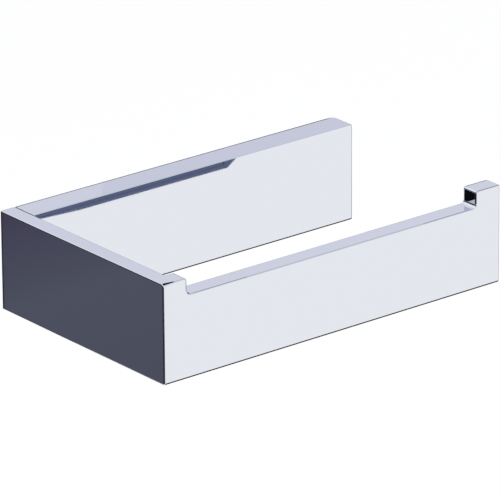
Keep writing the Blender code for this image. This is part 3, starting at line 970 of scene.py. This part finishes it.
def make_grub_screw(name, stainless):
    """An M4 set screw with a hexagon socket in its lower end."""
    low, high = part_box(name)
    middle = centre_of(name)
    length = high.z - low.z
    steps = ROUND_STEPS
    thread = machine_thread(GRUB_RADIUS)
    rings = [plain_ring(thread.root, 0.0, steps)]
    rings += threaded(thread, SMALL_EDGE, length - SMALL_EDGE, steps)
    rings.append(plain_ring(thread.root, length, steps))
    at = (middle.x, middle.y, low.z)
    screw = mesh_object(f"{name}_threaded", moved(solid_from_rings(rings), at), stainless)
    socket = prism(hexagon(GRUB_HEX_ACROSS), along_z, -CUT_OVERRUN, GRUB_HEX_DEPTH)
    cut = cutter(f"{name}_socket", moved(socket, at), (stainless,))
    finished(screw, name, [cut])


def knurled_ring(radius, z, steps, depth):
    """A ring with grooves of a depth, one for each of the head's knurls."""
    ring = []
    for k in range(steps):
        angle = 2 * HALF_TURN * k / steps
        reach = radius - depth * (0.5 + 0.5 * math.cos(KNURL_COUNT * angle))
        ring.append((reach * math.cos(angle), reach * math.sin(angle), z))
    return ring


def arm_screw_rings(head_radius, length):
    """A cap screw along Z from its knurled head to its end, with its head's bearing face at 0."""
    head = ARM_SCREW_HEAD_HEIGHT
    steps = POINTS_PER_KNURL * KNURL_COUNT
    thread = machine_thread(ARM_SCREW_RADIUS)
    rings = [plain_ring(head_radius - ARM_SCREW_HEAD_CHAMFER, -head, steps)]
    for z, depth in (
        (-head + ARM_SCREW_HEAD_CHAMFER, 0.0),
        (-head + KNURL_START, KNURL_DEPTH),
        (-KNURL_END, KNURL_DEPTH),
        (-SMALL_EDGE, 0.0),
    ):
        rings.append(knurled_ring(head_radius, z, steps, depth))
    rings.append(plain_ring(head_radius - SMALL_EDGE, 0.0, steps))
    rings.append(plain_ring(thread.crest, 0.0, steps))
    rings.append(plain_ring(thread.crest, ARM_SCREW_NECK_LENGTH, steps))
    thread_start = ARM_SCREW_NECK_LENGTH + ARM_SCREW_RUN_OUT
    rings += threaded(thread, thread_start, length - SMALL_EDGE, steps)
    rings.append(plain_ring(thread.root, length, steps))
    return rings


def make_arm_screw(name, stainless):
    """An M4 cap screw with a knurled head and a hexagon socket."""
    low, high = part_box(name)
    middle = centre_of(name)
    head = ARM_SCREW_HEAD_HEIGHT
    at = (high.x - head, middle.y, middle.z)
    rings = arm_screw_rings((high.y - low.y) / 2, high.x - low.x - head)
    screw = mesh_object(f"{name}_threaded", moved(solid_from_rings(rings), at, "-X"), stainless)
    hexagon_outline = hexagon(ARM_SCREW_HEX_ACROSS)
    socket = prism(hexagon_outline, along_z, -head - CUT_OVERRUN, -head + ARM_SCREW_HEX_DEPTH)
    cut = cutter(f"{name}_socket", moved(socket, at, "-X"), (stainless,))
    finished(screw, name, [cut])


# The studio: floor, surroundings that the chrome mirrors, lamps and camera.

def emission_material(name, colour):
    made = bpy.data.materials.new(name)
    made.use_nodes = True
    nodes, links = made.node_tree.nodes, made.node_tree.links
    nodes.clear()
    glow = nodes.new("ShaderNodeEmission")
    glow.inputs["Color"].default_value = (*colour, 1.0)
    out = nodes.new("ShaderNodeOutputMaterial")
    links.new(glow.outputs["Emission"], out.inputs["Surface"])
    return made, nodes, links, glow


def graded_material(name, stops):
    """A glow whose colour runs through (height, colour) stops, with the heights in metres."""
    made, nodes, links, glow = emission_material(name, stops[0][1])
    low, high = stops[0][0], stops[-1][0]
    coordinates = nodes.new("ShaderNodeTexCoord")
    parts = nodes.new("ShaderNodeSeparateXYZ")
    links.new(coordinates.outputs["Object"], parts.inputs["Vector"])
    share = in_range(nodes, links, parts.outputs["Z"], 0.0, 1.0, low, high)
    ramp = nodes.new("ShaderNodeValToRGB")
    elements = ramp.color_ramp.elements
    for place, (height, colour) in enumerate(stops):
        position = (height - low) / (high - low)
        element = elements[place] if place < 2 else elements.new(position)
        element.position = position
        element.color = (*colour, 1.0)
    links.new(share, ramp.inputs["Fac"])
    links.new(ramp.outputs["Color"], glow.inputs["Color"])
    return made


def seen_directly(nodes, links):
    """1 for a ray from the camera, off a mirror or through glass, and 0 for any other."""
    path = nodes.new("ShaderNodeLightPath")
    total = path.outputs["Is Camera Ray"]
    for name in ("Is Glossy Ray", "Is Transmission Ray"):
        most = nodes.new("ShaderNodeMath")
        most.operation = "MAXIMUM"
        links.new(total, most.inputs[0])
        links.new(path.outputs[name], most.inputs[1])
        total = most.outputs["Value"]
    return total


def floor_material():
    """Pale and matt for light and shadow, and nearly white where it is seen or mirrored."""
    made, nodes, links, shader = new_material("pale_floor")
    shader.inputs["Base Color"].default_value = FLOOR_COLOUR
    shader.inputs["Roughness"].default_value = FLOOR_ROUGHNESS
    path = nodes.new("ShaderNodeLightPath")
    mirrored = path.outputs["Is Glossy Ray"]
    strength = in_range(nodes, links, mirrored, 1.0, MIRRORED_FLOOR_LEVEL, 0.0, 1.0)
    glow = nodes.new("ShaderNodeEmission")
    links.new(strength, glow.inputs["Strength"])
    share = in_range(nodes, links, seen_directly(nodes, links), 0.0, FLOOR_GLOW_SHARE, 0.0, 1.0)
    mix = nodes.new("ShaderNodeMixShader")
    links.new(share, mix.inputs["Fac"])
    links.new(shader.outputs["BSDF"], mix.inputs[1])
    links.new(glow.outputs["Emission"], mix.inputs[2])
    links.new(mix.outputs["Shader"], nodes["Material Output"].inputs["Surface"])
    return made


def make_floor():
    """A plain pale floor well below the part, which takes its shadow."""
    bm = bmesh.new()
    half = FLOOR_SIZE / 2
    bm.faces.new([bm.verts.new((x, y, FLOOR_Z)) for x, y in rectangle(-half, half, -half, half)])
    mesh_object("floor", bm, floor_material())


def make_card(name, corners, material):
    """A card that only mirror surfaces see."""
    bm = bmesh.new()
    bm.faces.new([bm.verts.new(corner) for corner in corners])
    card = mesh_object(name, bm, material)
    card.visible_camera = False
    card.visible_diffuse = False
    card.visible_transmission = False
    card.visible_shadow = False
    card.visible_volume_scatter = False


def level(z, outline):
    """The corners of a level card."""
    return [(x, y, z) for x, y in outline]


def ring_sector(centre, inner, outer, start, end):
    """Part of a ring between two angles in degrees."""
    start, end = math.radians(start), math.radians(end)
    return arc(centre, outer, start, end) + arc(centre, inner, end, start)


def make_large_cards(tones):
    """Cards well away from the part, for its slate side and its black, dark and blue fields, with
    black painted shade under the part and on the floor.
    """
    for name, y, left, right, bottom, top, tone in UPRIGHT_CARDS:
        corners = [(x, y, z) for x, z in rectangle(left, right, bottom, top)]
        make_card(name, corners, tones[tone])
    corners = [(LEFT_CARD_X, y, z) for y, z in rectangle(*LEFT_CARD_EDGES)]
    make_card("card_left", corners, tones["dark"])
    # Black cards under the part, as painted shade that its lower faces and edges mirror.
    for name, left, right, front, rear in UNDER_CARDS:
        make_card(name, level(UNDER_CARD_Z, rectangle(left, right, front, rear)), tones["black"])
    # A black ring of card on the floor, as a painted shadow that only mirrors see.
    ring = ring_sector(FLOOR_CARD_CENTRE, *FLOOR_CARD_RADII, *FLOOR_CARD_ANGLES)
    make_card("painted_floor_shadow_left", level(FLOOR_Z + FLOOR_CARD_LIFT, ring), tones["black"])


def make_near_cards(tones):
    """Small cards close to the bars: the foot's painted shadow, and black shades over the front top
    edges, which those edges mirror as painted dark lines.
    """
    shadow = level(BOTTOM_Z - FOOT_SHADOW_DROP, FOOT_SHADOW_OUTLINE)
    make_card("table_shadow", shadow, tones["shadow"])
    # Black cards that the lug's corner and the front top edges mirror as painted dark lines.
    make_card("corner_shade", level(TOP_Z + SHADE_HEIGHT, CORNER_SHADE_OUTLINE), tones["black"])
    for name, z, left, right, front, rear in EDGE_SHADES:
        strip = rectangle(left, right, FRONT_Y + front, FRONT_Y + rear)
        make_card(name, level(z + SHADE_HEIGHT, strip), tones["black"])


def make_cards():
    """The cards that the chrome mirrors, in their six tones."""
    tones = {
        "slate": graded_material("slate_card", SLATE_STOPS),
        "blue": graded_material("blue_backdrop", BLUE_STOPS),
        "horizon": graded_material("horizon_card", HORIZON_STOPS),
        "dark": emission_material("dark_card", DARK_TONE)[0],
        "black": emission_material("black_card", BLACK_TONE)[0],
        "shadow": emission_material("table_shadow", SHADOW_TONE)[0],
    }
    make_large_cards(tones)
    make_near_cards(tones)


def soft_spot(nodes, links, below, direction, inner, outer, colour):
    """Lays a soft round patch of colour over the sky, full within one angle and gone at another."""
    coordinates = nodes.new("ShaderNodeTexCoord")
    lean = nodes.new("ShaderNodeVectorMath")
    lean.operation = "DOT_PRODUCT"
    lean.inputs[1].default_value = Vector(direction).normalized()
    links.new(coordinates.outputs["Generated"], lean.inputs[0])
    share = nodes.new("ShaderNodeMapRange")
    share.interpolation_type = "SMOOTHSTEP"
    share.inputs["From Min"].default_value = math.cos(math.radians(outer))
    share.inputs["From Max"].default_value = math.cos(math.radians(inner))
    links.new(lean.outputs["Value"], share.inputs["Value"])
    mix = nodes.new("ShaderNodeMix")
    mix.data_type = "RGBA"
    mix.inputs["B"].default_value = (*colour, 1.0)
    links.new(share.outputs["Result"], mix.inputs["Factor"])
    links.new(below, mix.inputs["A"])
    return mix.outputs["Result"]


def make_world():
    """Light grey to the camera, and to everything else a pale lavender sky with soft patches."""
    world = bpy.data.worlds.new("studio")
    bpy.context.scene.world = world
    world.use_nodes = True
    nodes, links = world.node_tree.nodes, world.node_tree.links
    nodes.clear()
    base = nodes.new("ShaderNodeRGB")
    base.outputs["Color"].default_value = (*SKY_TONE, 1.0)
    colour = base.outputs["Color"]
    for direction, inner, outer, tone in SKY_PATCHES:
        colour = soft_spot(nodes, links, colour, direction, inner, outer, tone)
    sky = nodes.new("ShaderNodeBackground")
    links.new(colour, sky.inputs["Color"])
    backdrop = nodes.new("ShaderNodeBackground")
    backdrop.inputs["Color"].default_value = (*BACKDROP_TONE, 1.0)
    path = nodes.new("ShaderNodeLightPath")
    mix = nodes.new("ShaderNodeMixShader")
    links.new(path.outputs["Is Camera Ray"], mix.inputs["Fac"])
    links.new(sky.outputs["Background"], mix.inputs[1])
    links.new(backdrop.outputs["Background"], mix.inputs[2])
    out = nodes.new("ShaderNodeOutputWorld")
    links.new(mix.outputs["Shader"], out.inputs["Surface"])


def make_lamp(name, place, size, power):
    """A square softbox aimed at the part, which mirrors do not show."""
    data = bpy.data.lights.new(name, "AREA")
    data.shape = "SQUARE"
    data.size = size
    data.energy = power
    lamp = bpy.data.objects.new(name, data)
    lamp.location = place
    lamp.rotation_euler = (-Vector(place)).to_track_quat("-Z", "Y").to_euler()
    lamp.visible_glossy = False
    bpy.context.scene.collection.objects.link(lamp)


def make_camera():
    """The photograph's camera: a long lens from the front left, a little above."""
    yaw, pitch, roll = (math.radians(angle) for angle in (CAMERA_YAW, CAMERA_PITCH, CAMERA_ROLL))
    right = Vector((math.cos(yaw), -math.sin(yaw), 0.0))
    level_ahead = Vector((math.sin(yaw), math.cos(yaw), 0.0))
    ahead = level_ahead * math.cos(pitch) - Vector((0.0, 0.0, math.sin(pitch)))
    up = right.cross(ahead)
    image_right = math.cos(roll) * right + math.sin(roll) * up
    image_up = -math.sin(roll) * right + math.cos(roll) * up
    data = bpy.data.cameras.new("photo_camera")
    data.sensor_width = SENSOR_WIDTH
    data.lens = FOCAL_LENGTH
    data.clip_start = CLIP_START
    data.clip_end = CLIP_END
    camera = bpy.data.objects.new("photo_camera", data)
    turn = Matrix((image_right, image_up, -ahead)).transposed().to_4x4()
    camera.matrix_world = Matrix.Translation(CAMERA_PLACE) @ turn
    bpy.context.scene.collection.objects.link(camera)
    bpy.context.scene.camera = camera


def make_studio():
    make_floor()
    make_world()
    make_cards()
    for name, place, size, power in LAMPS:
        make_lamp(name, place, size, power)
    make_camera()
    bpy.context.scene.view_settings.view_transform = "Standard"


def main():
    chrome, inside = polished_chrome(), cast_chrome()
    zinc, stainless, nylon = zinc_plate(), stainless_steel(), grey_nylon()
    make_bars(chrome, inside)
    make_back_plate(chrome, inside)
    make_wall_bracket(zinc)
    for side in ("left", "right"):
        make_wall_screw(f"wall_screw_{side}", zinc)
        make_wall_plug(f"wall_plug_{side}", nylon)
        make_grub_screw(f"grub_screw_{side}", stainless)
    for name in ARM_SCREWS:
        make_arm_screw(name, stainless)
    make_studio()


main()
